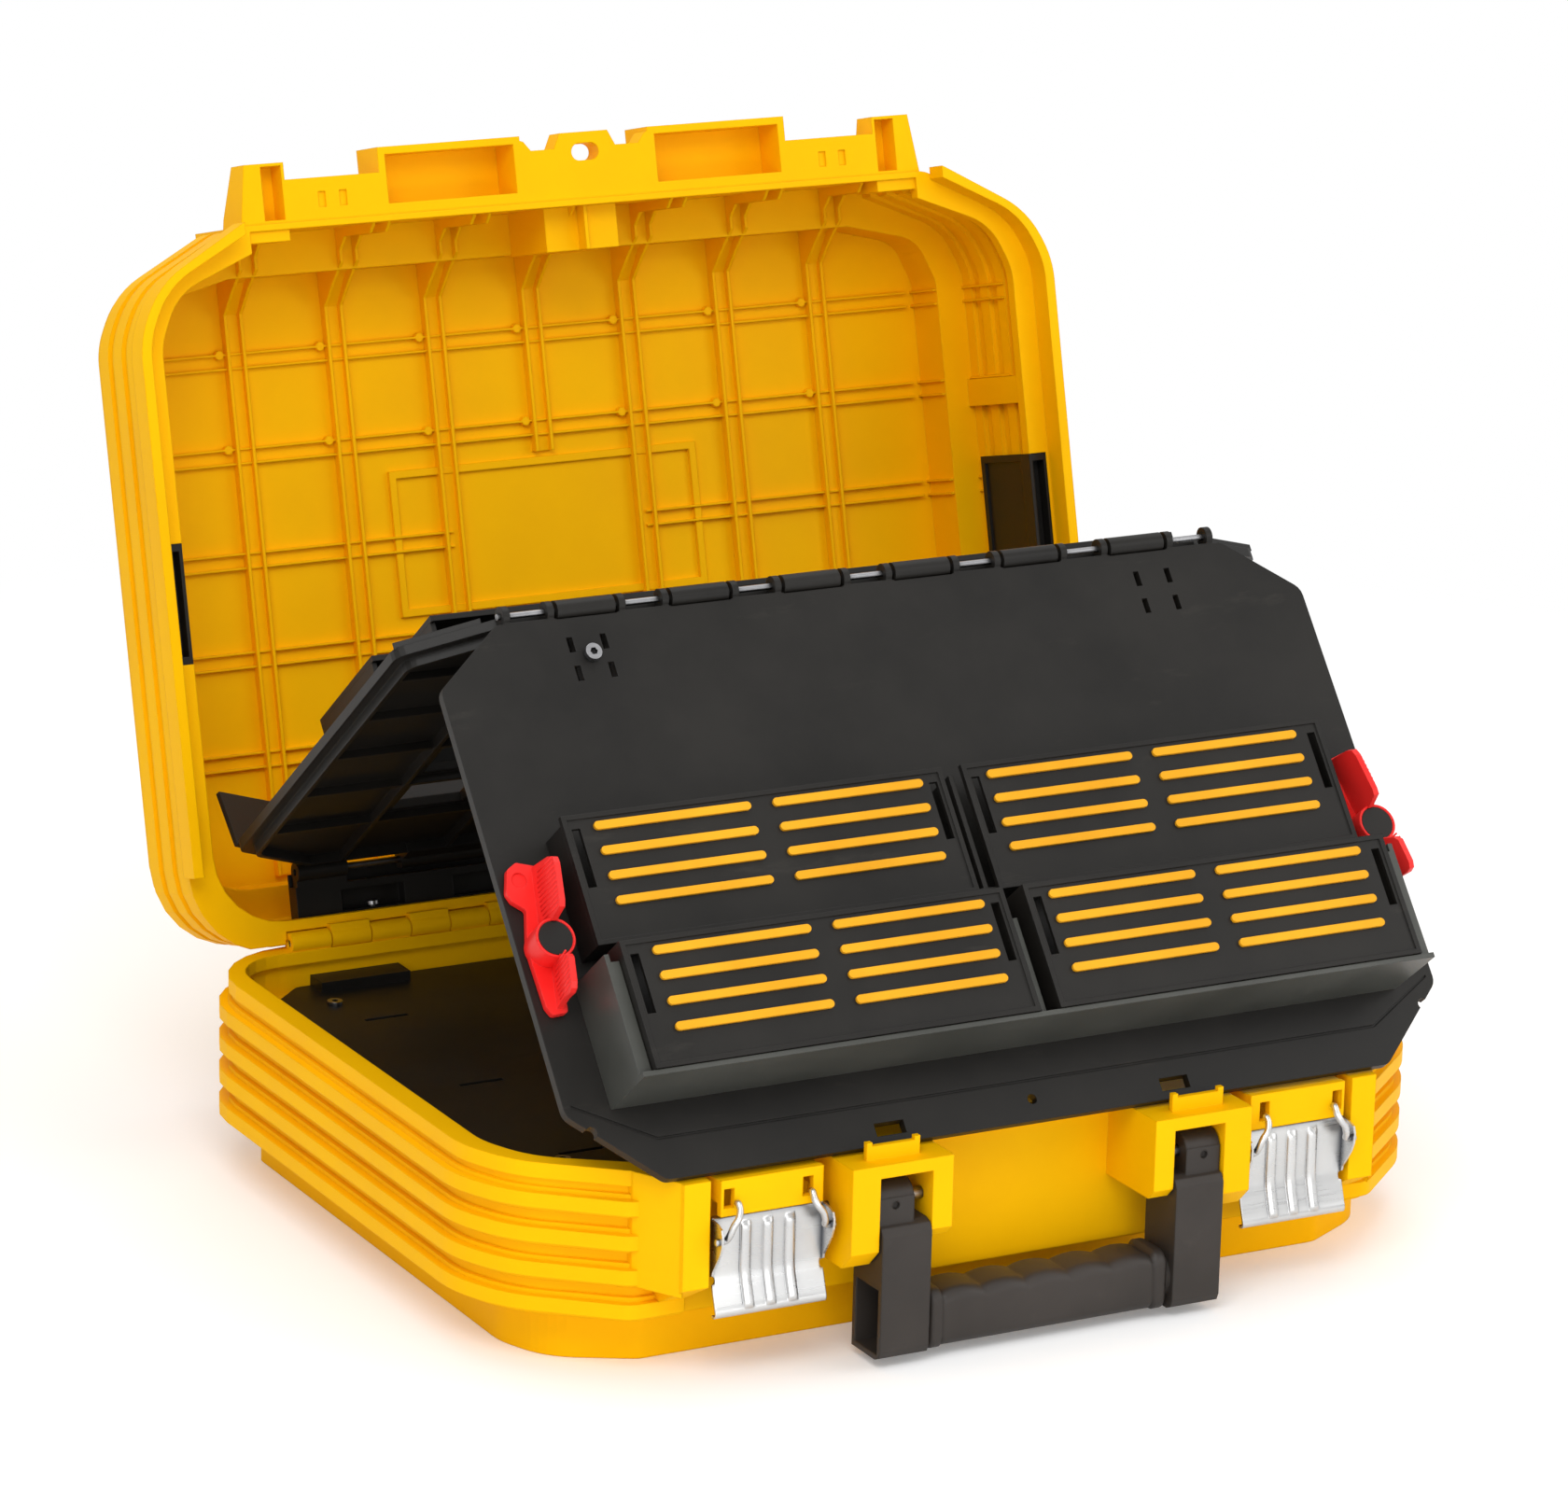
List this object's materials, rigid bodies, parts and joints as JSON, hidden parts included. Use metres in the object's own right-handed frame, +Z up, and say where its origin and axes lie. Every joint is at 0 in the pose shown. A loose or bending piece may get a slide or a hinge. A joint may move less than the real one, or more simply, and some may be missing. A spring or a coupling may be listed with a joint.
{
  "type": "hard_tool_case",
  "caption": "Hard tool case, open, with a ribbed yellow base and lid, black tool panels that stand as a tent, red clamps, draw latches and a folding carry handle.",
  "frame": {"origin": "centre of the base's flat underside", "axes": "X right along the front, Y to the back where the lid hinges, Z up"},
  "size_m": [0.536, 0.5905, 0.4967],
  "materials": {
    "yellow_shell": "fine moulded grain, slight sheen",
    "black_plastic": "moulded, dry, with faint dust marks",
    "smoky_tray": "smoky, half glossy",
    "dark_handle": "soft matt",
    "orange_stripe": "plain",
    "red_clamp": "moulded gloss",
    "bright_zinc": "zinc plated pressed sheet",
    "steel_wire": "drawn"
  },
  "bodies": {
    "base": {"base_shell": "yellow_shell", "base_cover": "black_plastic", "cover_screws": "steel_wire", "hinge_rod": "steel_wire", "handle_rods": "steel_wire", "latch_rod_left": "steel_wire", "latch_rod_right": "steel_wire"},
    "lid": {"lid_shell": "yellow_shell", "lid_clip_left": "black_plastic", "lid_clip_right": "black_plastic", "panel_bracket": "black_plastic", "bracket_screws": "steel_wire", "bracket_rod": "steel_wire"},
    "rear_leaf": {"back_panel": "black_plastic", "back_tray_upper": "black_plastic", "back_tray_lower": "black_plastic", "back_faces": "black_plastic", "ridge_rod": "steel_wire"},
    "front_leaf": {"front_panel": "black_plastic", "panel_screw": "steel_wire", "tray_upper": "black_plastic", "tray_lower": "smoky_tray", "face_upper_left": "black_plastic", "face_upper_right": "black_plastic", "face_lower_left": "black_plastic", "face_lower_right": "black_plastic", "stripes_upper_left": "orange_stripe", "stripes_upper_right": "orange_stripe", "stripes_lower_left": "orange_stripe", "stripes_lower_right": "orange_stripe", "clamp_stud_left": "black_plastic", "clamp_stud_right": "black_plastic"},
    "left_clamp": {"clamp_left": "red_clamp", "clamp_cap_left": "black_plastic"},
    "right_clamp": {"clamp_right": "red_clamp", "clamp_cap_right": "black_plastic"},
    "left_latch": {"latch_plate_left": "bright_zinc"},
    "right_latch": {"latch_plate_right": "bright_zinc"},
    "left_hooks": {"hooks_left": "bright_zinc"},
    "right_hooks": {"hooks_right": "bright_zinc"},
    "carry_handle": {"handle_arms": "dark_handle", "handle_grip": "dark_handle"}
  },
  "joints": [
    {"name": "lid_hinge", "type": "hinge", "parent": "base", "child": "lid", "pos_m": [0, 0.178, 0.1064], "axis": [1, 0, 0], "range_deg": [0, 60]},
    {"name": "back_panel_fold", "type": "hinge", "parent": "lid", "child": "rear_leaf", "pos_m": [0, 0.19684, 0.13782], "axis": [1, 0, 0], "range_deg": [-65, 0]},
    {"name": "ridge_fold", "type": "hinge", "parent": "rear_leaf", "child": "front_leaf", "pos_m": [0, -0.03286, 0.33088], "axis": [1, 0, 0], "range_deg": [0, 10]},
    {"name": "clamp_left_turn", "type": "hinge", "parent": "front_leaf", "child": "left_clamp", "pos_m": [-0.2285, -0.14288, 0.19942], "axis": [0, 0.7761, -0.6306], "range_deg": [-12, 12]},
    {"name": "clamp_right_turn", "type": "hinge", "parent": "front_leaf", "child": "right_clamp", "pos_m": [0.2285, -0.14288, 0.19942], "axis": [0, -0.7761, 0.6306], "range_deg": [-12, 12]},
    {"name": "latch_left_swing", "type": "hinge", "parent": "base", "child": "left_latch", "pos_m": [-0.1458, -0.211, 0.078], "axis": [-1, 0, 0], "range_deg": [0, 48]},
    {"name": "latch_right_swing", "type": "hinge", "parent": "base", "child": "right_latch", "pos_m": [0.1458, -0.211, 0.078], "axis": [-1, 0, 0], "range_deg": [0, 48]},
    {"name": "hooks_left_swing", "type": "hinge", "parent": "left_latch", "child": "left_hooks", "pos_m": [-0.1458, -0.225, 0.074], "axis": [1, 0, 0], "range_deg": [0, 60]},
    {"name": "hooks_right_swing", "type": "hinge", "parent": "right_latch", "child": "right_hooks", "pos_m": [0.1458, -0.225, 0.074], "axis": [1, 0, 0], "range_deg": [0, 60]},
    {"name": "handle_swing", "type": "hinge", "parent": "base", "child": "carry_handle", "pos_m": [0, -0.223, 0.082], "axis": [-1, 0, 0], "range_deg": [0, 90]}
  ],
  "couplings": [
    {"joint": "back_panel_fold", "follows": "lid_hinge", "ratio": -1.0725},
    {"joint": "ridge_fold", "follows": "lid_hinge", "ratio": 0.16},
    {"joint": "hooks_left_swing", "follows": "latch_left_swing", "ratio": 1.25},
    {"joint": "hooks_right_swing", "follows": "latch_right_swing", "ratio": 1.25}
  ]
}
